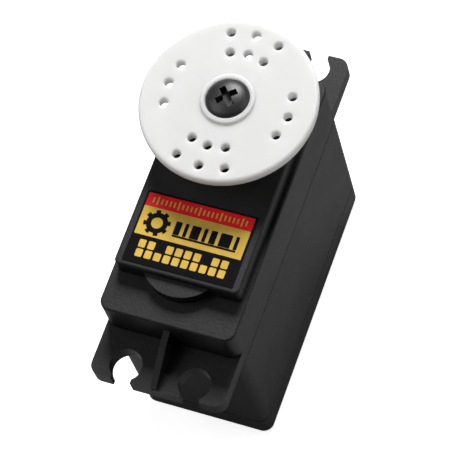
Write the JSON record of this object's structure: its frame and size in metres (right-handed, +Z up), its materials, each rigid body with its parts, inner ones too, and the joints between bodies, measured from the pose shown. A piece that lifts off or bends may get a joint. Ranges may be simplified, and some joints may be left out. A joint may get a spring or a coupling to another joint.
{
  "type": "servo motor",
  "caption": "Hobby servo motor in a three-piece plastic case with slotted ears, a metal gear train on ball bearings and a round drilled horn.",
  "frame": {"origin": "where the output shaft's axis meets the underside of the case", "axes": "+Z up along the output shaft, +X towards the case end beside the output shaft, +Y to the side"},
  "size_m": [0.0552, 0.025, 0.0454],
  "materials": {
    "black_plastic": "satin moulded nylon",
    "black_steel": "black oxide steel",
    "zinc_steel": "zinc-plated steel",
    "label_film": "printed film, red, gold and black bands",
    "white_nylon": "natural white nylon",
    "bearing_steel": "ground bearing steel",
    "gear_steel": "machined gear metal",
    "gear_resin": "acetal resin",
    "axle_steel": "ground steel",
    "can_steel": "drawn, nickel-plated steel",
    "core_steel": "stacked electrical steel",
    "ferrite": "sintered ferrite",
    "bronze": "sintered bronze",
    "copper": "enamelled or bare copper",
    "brass_pinion": "turned brass",
    "cap_plastic": "moulded plastic",
    "pot_plastic": "moulded plastic",
    "pot_shaft_plastic": "moulded plastic",
    "board_laminate": "glass-fibre laminate with green mask",
    "chip_black": "moulded chip package",
    "crystal_can": "pressed can",
    "capacitor_sleeve": "sleeved aluminium can",
    "black_rubber": "moulded rubber"
  },
  "bodies": {
    "case": {"top_case": "black_plastic", "middle_case": "black_plastic", "bottom_case": "black_plastic", "case_screws": "zinc_steel", "label": "label_film", "upper_bearing_outer_race": "bearing_steel", "upper_bearing_shields": "bearing_steel", "lower_bearing_outer_race": "bearing_steel", "centre_axle": "axle_steel", "second_gear_axle": "axle_steel", "motor_can": "can_steel", "motor_end_cap": "cap_plastic", "motor_magnets": "ferrite", "motor_front_bush": "bronze", "motor_rear_bush": "bronze", "motor_brushes": "copper", "motor_terminals": "brass_pinion", "motor_screws": "zinc_steel", "potentiometer_body": "pot_plastic", "potentiometer_leads": "brass_pinion", "control_board": "board_laminate", "controller_chip": "chip_black", "bridge_transistors": "chip_black", "crystal": "crystal_can", "filter_capacitor": "capacitor_sleeve", "chip_resistors": "chip_black", "cable_grommet": "black_rubber"},
    "rotor": {"motor_shaft": "axle_steel", "motor_pinion": "brass_pinion", "armature_core": "core_steel", "armature_windings": "copper", "commutator": "copper"},
    "first_stage": {"first_gear_wheel": "gear_resin", "first_gear_pinion": "gear_steel"},
    "second_stage": {"second_gear": "gear_steel"},
    "third_stage": {"third_gear": "gear_steel"},
    "output": {"output_gear": "gear_steel", "servo_horn": "white_nylon", "horn_screw": "black_steel", "upper_bearing_inner_race": "bearing_steel", "lower_bearing_inner_race": "bearing_steel", "potentiometer_shaft": "pot_shaft_plastic"},
    "upper_ball_ring": {"upper_bearing_balls": "bearing_steel"},
    "lower_ball_ring": {"lower_bearing_balls": "bearing_steel"}
  },
  "joints": [
    {"name": "output_spin", "type": "hinge", "parent": "case", "child": "output", "pos_m": [0, 0, 0], "axis": [0, 0, 1], "range_deg": [-90, 90]},
    {"name": "motor_spin", "type": "hinge", "parent": "case", "child": "rotor", "pos_m": [-0.021, 0, 0], "axis": [0, 0, 1], "range_deg": [-12159.46, 12159.46]},
    {"name": "first_gear_spin", "type": "hinge", "parent": "case", "child": "first_stage", "pos_m": [-0.01125, 0, 0], "axis": [0, 0, 1], "range_deg": [-3242.53, 3242.53]},
    {"name": "second_gear_spin", "type": "hinge", "parent": "case", "child": "second_stage", "pos_m": [-0.021, 0, 0], "axis": [0, 0, 1], "range_deg": [-775.4, 775.4]},
    {"name": "third_gear_spin", "type": "hinge", "parent": "case", "child": "third_stage", "pos_m": [-0.01125, 0, 0], "axis": [0, 0, 1], "range_deg": [-221.55, 221.55]},
    {"name": "upper_ball_orbit", "type": "hinge", "parent": "case", "child": "upper_ball_ring", "pos_m": [0, 0, 0], "axis": [0, 0, 1], "range_deg": [-37.11, 37.11]},
    {"name": "lower_ball_orbit", "type": "hinge", "parent": "case", "child": "lower_ball_ring", "pos_m": [0, 0, 0], "axis": [0, 0, 1], "range_deg": [-36.85, 36.85]}
  ],
  "couplings": [
    {"joint": "motor_spin", "follows": "output_spin", "ratio": 135.1},
    {"joint": "first_gear_spin", "follows": "output_spin", "ratio": -36.028},
    {"joint": "second_gear_spin", "follows": "output_spin", "ratio": 8.6154},
    {"joint": "third_gear_spin", "follows": "output_spin", "ratio": -2.4615},
    {"joint": "upper_ball_orbit", "follows": "output_spin", "ratio": 0.41222},
    {"joint": "lower_ball_orbit", "follows": "output_spin", "ratio": 0.40933}
  ]
}
